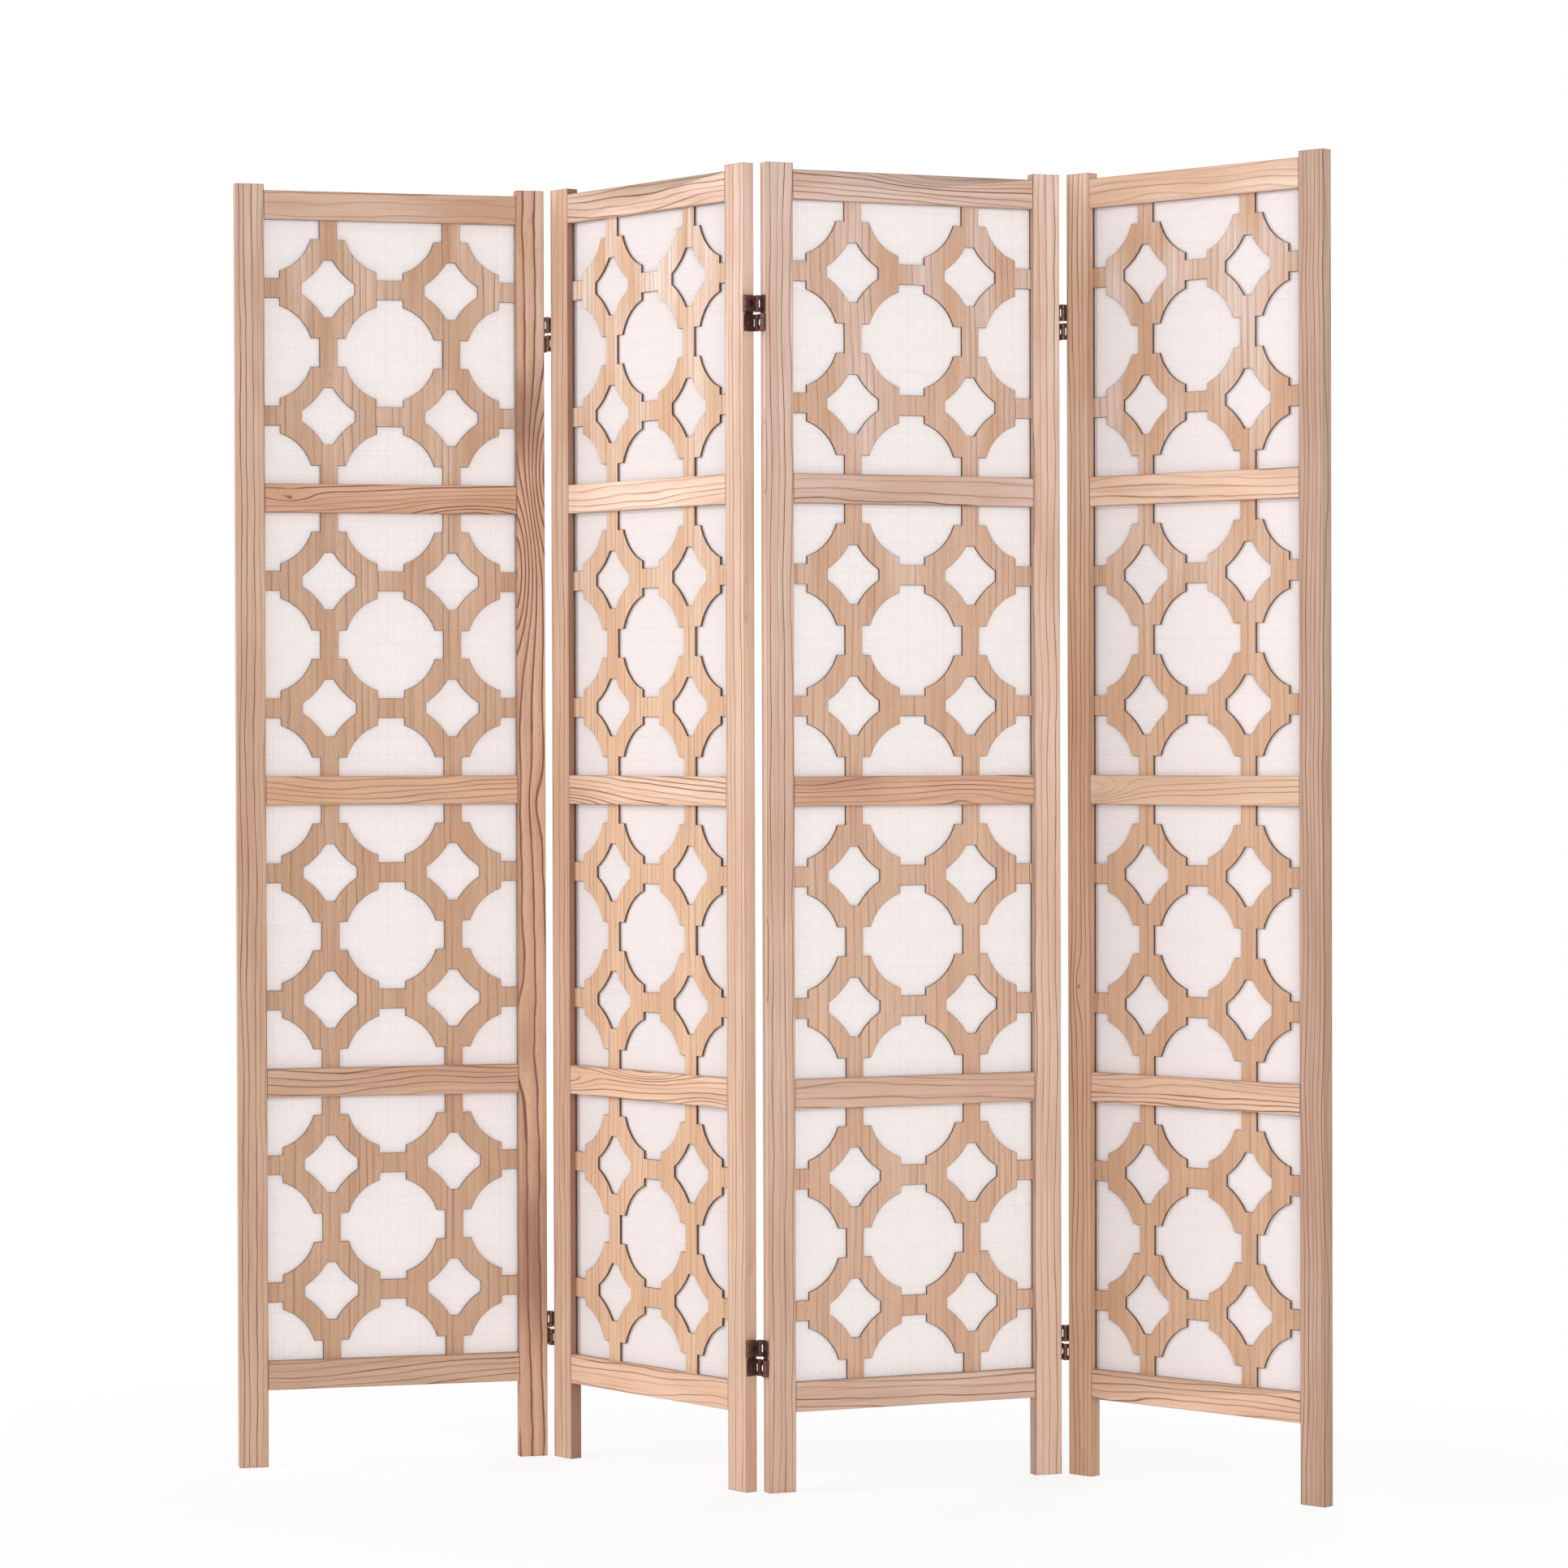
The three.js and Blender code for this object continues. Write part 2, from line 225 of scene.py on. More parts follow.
# %% Colours
def rgb(red, green, blue):
    """A colour as it is seen on a screen, 0 to 255, turned into the linear values of a shader."""
    def linear(v):
        v /= 255
        return v / 12.92 if v <= 0.04045 else ((v + 0.055) / 1.055) ** 2.4

    return (linear(red), linear(green), linear(blue), 1.0)


print("a middle grey on the screen is", round(rgb(128, 128, 128)[0], 3), "in a shader")

# %% [markdown]
# ## Sawn wood
# The frames are a pale, unvarnished softwood. What the eye reads as grain is the stack of growth
# rings, cut by the saw: thin brown lines of late wood, nearly straight where the plank was cut far
# from the heart of the tree, and pointed arches where it was cut near it. A photograph of wood
# would repeat and would end at the arris. So the tree itself is modelled: rings round a heart that
# wanders along the trunk and leans a little, with each piece sawn from its own place. Then the
# lines turn the corner of a stile and meet its end as they do in real timber.

# %% Where a point of the wood lies
def panel_coordinates(finish, panel, is_board):
    """The point in millimetres, and where its face looks, both in the panel's own frame. CAD
    pieces lie in the world's frame, and the boards in the panel's."""
    seen = finish.node("ShaderNodeTexCoord", {}, {}, "Object")
    facing = finish.node("ShaderNodeTexCoord", {}, {}, "Normal")
    back = Matrix.Identity(4) if is_board else PANELS[panel - 1].inverted()
    place = {"Location": back.translation / MM, "Rotation": back.to_euler(), "Scale": (1000,) * 3}
    point = finish.node("ShaderNodeMapping", {}, {"Vector": seen, **place})
    turn = {"Vector": facing, "Rotation": back.to_euler()}
    return point, finish.node("ShaderNodeMapping", {"vector_type": "NORMAL"}, turn)


def arris_shade_and_joint_line(across, depth, run, piece):
    """Painted shade along the arrises, which also draws the dark lines of the joints: 1 on the
    arrises of a piece and 0 from a millimetre and a half away.
    """
    (a, b), (c, d) = piece["across"], piece["run"]
    beside = (across - a).math("MINIMUM", b - across)
    behind = depth.math("MINIMUM", FRAME_THICKNESS - depth)
    along = (run - c).math("MINIMUM", d - run)
    middle = beside.math("MAXIMUM", behind).math("MINIMUM", along)
    middle = middle.math("MAXIMUM", beside.math("MINIMUM", behind))
    return 1.0 - middle.ramp(0.4, 1.5)


print("wood is measured in millimetres: across its panel, into it and along the grain")

# %% The rings of the tree
SEED_STEP = 7.31  # moves the noise of each plank to a place of its own
SQUEEZE = 0.25  # bends are four times as long as they are wide
UNEVEN_YEARS, YEARS_PACE, AHEAD = 1.2, 0.5, 0.05
LINE_PLACE = 0.88  # where the dark line lies in a year's growth


def rings_of(finish, across, depth, run, facing, piece):
    """Late-wood lines and the slow darkening before each, from the plank's place in the tree."""
    seed = piece["seed"] * SEED_STEP
    drift = finish.noise(finish.vector(run * 0.0024, seed, 0.0), 1.0, 1.0) - 0.5
    wave = finish.noise(finish.vector(across * 0.022, seed, run * piece["sway"]), 1.0, 1.0) - 0.5
    shiver = finish.noise(finish.vector(across * 0.07, depth * 0.05 + seed, run * 0.02), 1.0, 1.0)
    along = run - piece["run"][0]
    side = across - piece["heart"][0] + wave * piece["wave"] + along * piece["slope"]
    deep = depth - piece["heart"][1] + drift * piece["wander"] + along * piece["lean"]
    away = (side * side + deep * deep).math("SQRT")
    # A branch or a bend pushes the rings aside, and they pass it in arches. The climb of the
    # distance along each axis is added up as well, for the width of the lines.
    pushed, climb, deep_climb, run_climb = away, side / away, deep / away, 0.0
    for bend_across, bend_run, size, push in piece["bends"]:
        beside, beyond = across - bend_across, run - bend_run
        reach = (beside ** 2 + (beyond * SQUEEZE) ** 2) / (size * size)
        swell = (reach * -1.0).math("EXPONENT") * push
        pushed = pushed + swell
        climb = climb - swell * beside * (2 / size ** 2)
        run_climb = run_climb - swell * beyond * (2 * SQUEEZE ** 2 / size ** 2)
    # Wet years and dry years: some rings are three times as wide as others, but none turns back.
    count = pushed / piece["ring"]
    wet, next_wet = (
        finish.noise(finish.vector(count * YEARS_PACE + step, seed, 3.0), 1.0, 0.0)
        for step in (0.0, AHEAD)
    )
    rings = count + wet * UNEVEN_YEARS + (shiver - 0.5) * 0.3
    climbing = (next_wet - wet) * (UNEVEN_YEARS * YEARS_PACE / AHEAD)
    crowding = (climbing + 1.0).math("MAXIMUM", 0.2)
    growth = rings.math("FRACT")
    year = finish.node(
        "ShaderNodeTexWhiteNoise", {"noise_dimensions": "1D"}, {"W": rings.math("FLOOR") + seed}
    )
    # Where the face runs along a ring, its line would smear. So it is as wide as the saw shows it
    # on that face: the climb within the face counts, and the climb into the wood doesn't.
    inward = facing[0] * climb + facing[1] * deep_climb
    slant = climb * climb + deep_climb * deep_climb + run_climb * run_climb - inward * inward
    slant = slant.math("MAXIMUM", 0.03).math("SQRT")
    half = slant * crowding * (piece["line"] / piece["ring"])
    line = 1.0 - abs(growth - LINE_PLACE).ramp(half * 0.45, half)
    ink = finish.noise(finish.vector(across * 0.05, seed, run * 0.012), 1.0, 2.0).ramp(0.25, 0.6)
    line = line * year.ramp(*piece["years"]) * (ink * 0.5 + 0.5) * slant.ramp(0.15, 0.4)
    return line, growth ** 2.0


print("rings, with their dark line at", LINE_PLACE, "of each year's growth")

# %% One wood for all the pieces
GRAIN_DEPTH = 0.0001
PALER_FROM_HEIGHT = 1000.0


def wood(name, panel, along, piece, color, is_board=False):
    """piece gives the plank's place in the tree: heart (across, depth) in mm in the panel's frame,
    the width of its rings and lines, and a seed for everything that wanders."""
    finish = Finish(name)
    point, looks = panel_coordinates(finish, panel, is_board)
    (x, depth, z), (right, back, up) = finish.split(point), finish.split(looks)
    across, run = (x, z) if along == "z" else (z, x)
    seed = piece["seed"] * SEED_STEP
    facing = (right if along == "z" else up, back)
    line, early = rings_of(finish, across, depth, run, facing, piece)
    threads = finish.vector(across * 0.9, depth * 1.1 + seed, run * 0.012)
    fibre = finish.noise(threads, 1.0, 3.0, 0.6)
    cloud = finish.noise(finish.vector(across * 0.02, depth * 0.03, run * 0.004 + seed), 1.0, 2.0)
    speck = finish.noise(finish.vector(across * 0.6, depth * 0.5, run * 0.10 + seed), 1.0, 2.0)
    streak = finish.noise(finish.vector(across * 0.22, depth * 0.2, run * 0.004 + seed), 1.0, 2.0)

    def stained(red, green, blue):
        return rgb(color[0] * red, color[1] * green, color[2] * blue)

    # The wood turns paler and less warm towards the top.
    warm, dark = stained(0.94, 0.90, 0.865), stained(0.54, 0.40, 0.33)
    pale = finish.mix(z.ramp(PALER_FROM_HEIGHT, HEIGHT), stained(1, 1, 1), stained(*piece["top_paling"]))
    tone = finish.mix(cloud.ramp(0.32, 0.66), pale, warm)
    tone = finish.mix(early * 0.6, tone, warm)
    if piece["bands"]:
        tone = finish.mix(early * piece["bands"], tone, dark)
    tone = finish.mix(fibre.ramp(0.38, 0.75) * 0.16, tone, dark)
    tone = finish.mix(streak.ramp(0.5, 0.72) * 0.22, tone, dark)
    tone = finish.mix(speck.ramp(0.60, 0.72) * piece["flecks"], tone, dark)
    for middle, length, strength in piece["shades"]:
        patch = 1.0 - abs(run - middle).ramp(length * 0.3, length)
        tone = finish.mix(patch * cloud.ramp(0.3, 0.6) * strength, tone, dark)
    tone = finish.mix((line * piece["lines"]).math("MINIMUM", 1.0), tone, dark)
    for knot_across, knot_run, size in piece["knots"]:
        away = ((across - knot_across) ** 2 + ((run - knot_run) * 0.5) ** 2).math("SQRT")
        eye = 1.0 - (away + (speck - 0.5) * 3.0).ramp(size * 0.08, size * 0.25)
        tone = finish.mix(eye * 0.9, tone, rgb(92, 52, 36))

    rough = 0.56 + fibre * 0.12
    if is_board:
        # The beam that cuts the board scorches its walls, and a hair of its front beside them.
        burnt = finish.node("ShaderNodeAttribute", {"attribute_name": "scorch"}, {}, 2)
        soot = finish.noise(finish.vector(x * 0.3, depth * 1.2, z * 0.3), 1.0, 3.0)
        tone = finish.mix(burnt ** 3.0 * (0.72 + soot * 0.4), tone, rgb(66, 30, 19))
        rough = rough + burnt * 0.2
    else:
        # Painted shade along every arris, darkest on the edge itself; where pieces meet it also
        # draws their joint lines.
        tone = finish.mix(arris_shade_and_joint_line(across, depth, run, piece) * 0.35, tone, dark)
        if along == "z":
            # Painted shade: the side of the stile that closes the opening is darkened, as if the
            # frame shaded it.
            outward = 1.0 if piece["across"][0] == 0 else -1.0
            inner = (facing[0] * outward).ramp(0.6, 0.9) * piece["inner_side_shade"]
            tone = finish.mix(inner, tone, dark)
    finish.set(Base_Color=tone, Roughness=rough)
    finish.bump(line * -0.6 + fibre * 0.5, GRAIN_DEPTH, 0.5)
    return finish.material


print("one wood, sawn from a different place for each piece")

# %% [markdown]
# ## Which plank each piece was cut from
# In the picture the four panels aren't alike, and the first is the darkest and reddest wood. One of
# its stiles shows a dark arch and freckles, and there is a knot near the end of one of its rails.
# So a plank is described for each piece, and a few are given one by one. A bend or a knot is
# given by its place across and along, and its size in mm. A bend also says how far it pushes.

# %% Planks
FRAME_COLORS = {1: (209, 173, 148), 2: (230, 196, 173), 3: (222, 190, 171), 4: (224, 190, 165)}
BOARD_COLORS = {1: (212, 175, 146), 2: (219, 184, 154), 3: (227, 191, 165), 4: (204, 167, 138)}
# How much paler and less warm each board turns towards its top.
TOP_PALING = {
    1: (1.10, 1.18, 1.30),
    2: (1.06, 1.20, 1.39),
    3: (1.04, 1.14, 1.30),
    4: (1.08, 1.26, 1.50),
}
STILES = ("left_stile", "right_stile")
RAILS = ("bottom_rail", "lower_rail", "middle_rail", "upper_rail", "top_rail")
BEAMS = STILES + RAILS
BOARD_INDEX = 8
LEG, RAIL_HEIGHT, RAIL_PITCH, STILE_WIDTH = 102.0, 38.0, 388.0, 38.0
ARRIS = 0.0005
PLAIN = {
    "line": 0.8, "lines": 0.95, "wander": 30, "wave": 12, "sway": 0.005, "lean": 0.0, "slope": 0.0,
    "bends": [], "knots": [], "flecks": 0.12, "shades": [], "tone": (1, 1, 1), "years": (-0.3, 0.7),
    "top_paling": (1.05, 1.11, 1.18), "inner_side_shade": 0.15, "bands": 0.0,
}
CHOSEN = {
    "panel_1_right_stile": {
        "heart": (300, -12), "ring": 17.0, "line": 1.4, "lines": 1.4, "wander": 60, "slope": 0.012,
        "flecks": 0.4, "shades": [(1400, 80, 0.7), (280, 180, 0.5)], "tone": (1.02, 1.01, 1.0),
        "bends": [
            (376, 1190, 22, -66), (420, 1325, 20, 64), (404, 880, 10, 9), (380, 560, 14, 18),
        ],
        "years": (-0.8, 0.4), "bands": 0.45,
    },
    "panel_1_top_rail": {"lines": 0.7},
    "panel_1_upper_rail": {
        "heart": (1220, -20), "ring": 8.0, "line": 1.1, "lines": 1.2, "slope": -0.03, "wave": 12,
        "bends": [(1264, 310, 22, -26), (1286, 71, 9, 12)], "knots": [(1286, 71, 9)],
        "tone": (1.05, 1.0, 0.96),
    },
    "panel_1_middle_rail": {
        "ring": 6.5, "lines": 0.7, "slope": -0.012, "years": (-0.6, 0.6),
        "tone": (1.03, 1.02, 0.99),
    },
    # Panel 2's left stile gets a strong painted shade on the inner side of the stile.
    "panel_2_left_stile": {"tone": (0.95, 0.94, 0.92), "inner_side_shade": 0.75},
    "panel_2_upper_rail": {"lines": 0.7, "tone": (1.03, 1.04, 1.05)},
    "panel_2_middle_rail": {
        "heart": (838, -20), "ring": 7.0, "lines": 1.2, "slope": 0.07, "wave": 8,
        "bends": [(876, 38, 24, -18)], "tone": (1.05, 1.06, 1.06),
    },
    "panel_2_lower_rail": {
        "heart": (430, -16), "ring": 9.0, "lines": 1.0, "wave": 6, "wander": 10,
        "bends": [(509, 34, 13, 24), (534, 200, 22, 34), (488, 340, 16, -16)],
        "tone": (1.02, 1.02, 1.0),
    },
    "panel_3_left_stile": {"lines": 1.1},
    "panel_3_right_stile": {"tone": (1.02, 1.04, 1.05)},
    "panel_3_middle_rail": {
        "heart": (836, -14), "ring": 9.0, "lines": 0.9, "shades": [(100, 90, 0.3)], "wave": 8,
        "bends": [(910, 60, 14, 14), (890, 280, 14, -10)], "tone": (0.98, 0.93, 0.88),
    },
    "panel_3_top_rail": {
        "heart": (1600, -20), "ring": 8.0, "lines": 1.1, "slope": 0.04, "wave": 8,
        "bends": [(1694, 250, 20, 20)],
    },
    "panel_4_left_stile": {
        "tone": (0.95, 0.92, 0.89), "knots": [(18, 640, 8)], "bends": [(18, 640, 9, 10)],
    },
    "panel_4_top_rail": {"lines": 0.5, "ring": 9.0},
    "panel_4_middle_rail": {
        "ring": 8.0, "lines": 0.7, "wave": 8, "bends": [(898, 38, 14, 30)],
        "tone": (1.03, 1.04, 1.04),
    },
    "panel_4_lower_rail": {"ring": 6.0, "lines": 1.0, "heart": (420, -30)},
    "panel_4_right_stile": {"tone": (0.88, 0.86, 0.86), "lines": 1.3, "ring": 6.5},
}


def plank(node, number, index):
    """A plank for one piece: pieces sawn far from the heart show straight lines."""
    seed = number * 10 + index
    spread = math.sin(seed * 12.9898) * 0.5 + 0.5
    made = {**PLAIN, "seed": seed, "ring": 7.5 + 2.5 * spread}
    if node.endswith("stile"):
        start = 0.0 if "left" in node else PANEL_WIDTH - STILE_WIDTH
        made["across"], made["run"] = (start, start + STILE_WIDTH), (0.0, HEIGHT)
        made["heart"] = (start - 50 - 60 * spread, -25 + 40 * spread)
    elif node.endswith("rail"):
        low = LEG + RAIL_PITCH * (index - len(STILES))
        made["across"] = (low, low + RAIL_HEIGHT)
        made["run"] = (STILE_WIDTH, PANEL_WIDTH - STILE_WIDTH)
        made["heart"] = (low - 20 - 50 * spread, -30 - 30 * spread)
        made.update({"wave": 26, "lines": 1.0, "line": 0.95, "wander": 40})
        made["lean"] = 0.06 * (spread - 0.5)
    else:
        made["across"], made["run"] = (0.0, PANEL_WIDTH), (0.0, HEIGHT)
        made["heart"], made["ring"] = (-90 - 60 * spread, -90), 8.0 + 3 * spread
        made.update({"line": 0.6, "lines": 0.8, "wave": 8, "sway": 0.002, "wander": 60})
        made.update({"flecks": 0.25, "years": (0.3, 0.8), "top_paling": TOP_PALING[number]})
    return {**made, **CHOSEN.get(node, {})}


def sawn(node, number, along, index, color, is_board=False):
    piece = plank(node, number, index)
    shade = 1.0 + 0.03 * math.sin(piece["seed"] * 4.1)
    color = [c * t * shade for c, t in zip(color, piece["tone"])]
    return wood(f"wood_{node}", number, along, piece, color, is_board)


def wear(node, material):
    """Puts a material on a CAD node and eases its arrises, as a carpenter does with sandpaper. The
    loaded triangles don't share their corners, so they are joined first."""
    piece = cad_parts[node]
    piece.data.materials.clear()
    piece.data.materials.append(material)
    joined = piece.modifiers.new("joined corners", "WELD")
    joined.merge_threshold = 1e-5
    ease = piece.modifiers.new("eased arrises", "BEVEL")
    ease.width = ARRIS
    ease.segments = 2
    ease.limit_method = "ANGLE"
    ease.angle_limit = math.radians(40)


for number in range(1, 5):
    for index, part in enumerate(BEAMS):
        node = f"panel_{number}_{part}"
        along = "z" if part in STILES else "x"
        wear(node, sawn(node, number, along, index, FRAME_COLORS[number]))
print("28 planks for the stiles and rails")

# %% [markdown]
# ## The lattice board
# Each panel holds one thin board. Two by two diamonds stand in every bay, and round openings with
# square notches lie between them. Each hole is first drawn as one outline, an arc with a notch,
# turned over four times. Then three rings of faces follow it: a scorched hair on the front, an
# eased arris, and the wall. A flat curve with holes fills what is left between them, because it is
# the simplest way to fill a sheet that has fifty-two holes.

# %% The outline of one bay
BAY_WIDTH = PANEL_WIDTH - 2 * STILE_WIDTH
BAY_HEIGHT = RAIL_PITCH - RAIL_HEIGHT
PITCH_X, PITCH_Z = BAY_WIDTH / 2 - 4, BAY_HEIGHT / 2 - 6
ROUND_X, ROUND_Z = PITCH_X / 2 - 20.5, PITCH_Z / 2 - 20.5
REACH_X, REACH_Z = (PITCH_X - 24) / 2, (PITCH_Z - 26) / 2
SIDE_NOTCH, END_NOTCH, BAND, SIDE_TIP, END_TIP = 19.0, 18.0, 27.0, 7.0, 6.0


def arc(radius_x, radius_z, start, end, steps):
    angles = [start + (end - start) * i / steps for i in range(steps + 1)]
    return [(radius_x * math.cos(a), radius_z * math.sin(a)) for a in angles]


def mirrored(points, sign_x, sign_z):
    turned_over = [(x * sign_x, z * sign_z) for x, z in points]
    return turned_over if sign_x * sign_z > 0 else turned_over[::-1]


def opening(column, row):
    """The round opening in a column and row of the bay's three by three, cut off at its edge."""
    start, end = math.asin(SIDE_NOTCH / ROUND_Z), math.acos(END_NOTCH / ROUND_X)
    quarter = [(REACH_X, SIDE_NOTCH), *arc(ROUND_X, ROUND_Z, start, end, 12), (END_NOTCH, REACH_Z)]
    wall_x, wall_z = column * 4.0, row * 6.0
    outline = []
    for sign_x, sign_z in ((1, 1), (-1, 1), (-1, -1), (1, -1)):
        open_x, open_z = sign_x != column, sign_z != row
        if open_x and open_z:
            outline += mirrored(quarter, sign_x, sign_z)
        elif open_x:
            outline.append((sign_x * REACH_X, wall_z))
        elif open_z:
            outline.append((wall_x, sign_z * REACH_Z))
        else:
            outline.append((wall_x, wall_z))
    return [(x + column * PITCH_X, z + row * PITCH_Z) for x, z in outline]


def diamond(column, row):
    outer_x, outer_z = ROUND_X + BAND, ROUND_Z + BAND
    start = math.asin((PITCH_Z / 2 - SIDE_TIP) / outer_z)
    end = math.acos((PITCH_X / 2 - END_TIP) / outer_x)
    side = [(x - PITCH_X / 2, z - PITCH_Z / 2) for x, z in arc(outer_x, outer_z, start, end, 8)]
    outline = []
    for signs in ((1, 1), (-1, 1), (-1, -1), (1, -1)):
        outline += mirrored(side, *signs)
    return [(x + column * PITCH_X, z + row * PITCH_Z) for x, z in outline]


bay_holes = [opening(i, j) for i in (-1, 0, 1) for j in (-1, 0, 1)]
bay_holes += [diamond(i, j) for i in (-0.5, 0.5) for j in (-0.5, 0.5)]
print(len(bay_holes), "holes in a bay,", sum(map(len, bay_holes)), "points")

# %% Follow an outline at a distance
BOARD_FRONT, BOARD_THICKNESS, BOARD_REACH = 8.5, 3.0, 6.2
BOARD_EASE, SCORCH_REACH = 0.25, 1.3
BOARD_LOW = LEG + RAIL_HEIGHT - BOARD_REACH
BOARD_HIGH = LEG + 4 * RAIL_PITCH + BOARD_REACH


def tidied(points):
    """The outline without points that lie on each other, always turning the same way."""
    kept = [p for p, q in zip(points, points[1:] + points[:1]) if math.dist(p, q) > 0.01]
    area = sum(p[0] * q[1] - q[0] * p[1] for p, q in zip(kept, kept[1:] + kept[:1]))
    return kept if area > 0 else kept[::-1]


def widened(points, distance):
    """The outline moved outwards, with mitred corners."""
    moved = []
    for before, point, after in zip(points[-1:] + points, points, points[1:] + points[:1]):
        one = (Vector(point) - Vector(before)).normalized()
        two = (Vector(after) - Vector(point)).normalized()
        out_one, out_two = Vector((one.y, -one.x)), Vector((two.y, -two.x))
        mitre = (out_one + out_two) / (1 + out_one.dot(out_two))
        moved.append(Vector(point) + mitre * distance)
    return moved


def board_outlines():
    left, right = STILE_WIDTH - BOARD_REACH, PANEL_WIDTH - STILE_WIDTH + BOARD_REACH
    edge = [(left, BOARD_LOW), (right, BOARD_LOW), (right, BOARD_HIGH), (left, BOARD_HIGH)]
    holes = []
    for bay in range(4):
        middle = LEG + RAIL_HEIGHT + bay * RAIL_PITCH + BAY_HEIGHT / 2
        for hole in bay_holes:
            holes.append(tidied([(x + PANEL_WIDTH / 2, z + middle) for x, z in hole]))
    return edge, holes


print(f"boards of {BAY_WIDTH + 2 * BOARD_REACH:.1f} by {BOARD_HIGH - BOARD_LOW:.1f} mm")

# %% The mesh of a board
def filled_sheet(outlines, depth, form):
    """Faces between the first outline and the others, from a flat filled curve."""
    curve = bpy.data.curves.new("sheet", "CURVE")
    curve.dimensions = "2D"
    curve.fill_mode = "BOTH"
    for outline in outlines:
        spline = curve.splines.new("POLY")
        spline.points.add(len(outline) - 1)
        for point, (x, z) in zip(spline.points, outline):
            point.co = (x, z, 0, 1)
        spline.use_cyclic_u = True
    drawn = bpy.data.objects.new("sheet", curve)
    mesh = bpy.data.meshes.new_from_object(drawn)
    corners = [form.verts.new((v.co.x, depth, v.co.y)) for v in mesh.vertices]
    for face in mesh.polygons:
        form.faces.new([corners[i] for i in face.vertices])
    bpy.data.objects.remove(drawn)


def lattice_mesh(name):
    form = bmesh.new()
    scorch = form.verts.layers.float.new("scorch")
    edge, holes = board_outlines()
    back = BOARD_THICKNESS
    steps = [
        (SCORCH_REACH, 0.0, 0.0),
        (BOARD_EASE, 0.0, 0.85),
        (0.0, BOARD_EASE, 1.0),
        (0.0, back - BOARD_EASE, 1.0),
        (BOARD_EASE, back, 0.85),
        (SCORCH_REACH, back, 0.0),
    ]
    for hole in holes:
        loops = []
        for distance, depth, burnt in steps:
            loop = [form.verts.new((p[0], depth, p[1])) for p in widened(hole, distance)]
            for corner in loop:
                corner[scorch] = burnt
            loops.append(loop)
        for one, other in zip(loops, loops[1:]):
            for i in range(len(one)):
                j = (i + 1) % len(one)
                form.faces.new((one[i], one[j], other[j], other[i]))
    rim = [[form.verts.new((x, depth, z)) for x, z in edge] for depth in (0.0, back)]
    for i in range(4):
        form.faces.new((rim[0][i], rim[0][(i + 1) % 4], rim[1][(i + 1) % 4], rim[1][i]))
    sheets = [edge, *(widened(hole, SCORCH_REACH) for hole in holes)]
    filled_sheet(sheets, 0.0, form)
    filled_sheet(sheets, back, form)
    bmesh.ops.remove_doubles(form, verts=form.verts, dist=0.002)
    bmesh.ops.recalc_face_normals(form, faces=form.faces)
    for corner in form.verts:
        corner.co = (corner.co.x * MM, (corner.co.y + BOARD_FRONT) * MM, corner.co.z * MM)
    mesh = bpy.data.meshes.new(name)
    form.to_mesh(mesh)
    loose = sum(1 for e in form.edges if len(e.link_faces) != 2)
    form.free()
    return mesh, loose


board_mesh, loose = lattice_mesh("fret_board")
print("a board has", len(board_mesh.polygons), "faces and", loose, "open edges")

# %% Cut the four boards
def add(name, mesh, matrix, body, material):
    """A new piece that stands where the matrix says and moves with a CAD body."""
    piece = bpy.data.objects.new(name, mesh)
    bpy.context.scene.collection.objects.link(piece)
    piece.matrix_world = matrix
    mesh.materials.append(material)
    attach(piece, body)
    return piece


for number, color in BOARD_COLORS.items():
    body, node = f"panel_{number}", f"panel_{number}_lattice"
    material = sawn(node, number, "z", BOARD_INDEX, color, is_board=True)
    name, place = f"{body}_fret_board", PANELS[number - 1]
    board = add(name, board_mesh.copy(), place, body, material)
    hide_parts(node)
print(len(BOARD_COLORS), "boards in their frames")

# %% [markdown]
# ## The woven mesh
# Behind each board an open, cream-coloured plain weave is stretched. A thread crosses every 3.3 mm
# and covers about two thirds of that, so the cloth looks closed from afar and small square holes
# show up close. Modelling each thread would need millions of faces. So the cloth is one thin sheet,
# and its threads are drawn by its alpha. The threads that pass over and under each other bend the
# normal, so that they catch the light in turn.

# %% The weave
THREAD_PITCH = 3.3
THREAD_SHARE = 0.68  # of the pitch
THREAD_HEIGHT = 0.0004
PULL = 0.006  # how far the threads wander from straight lines


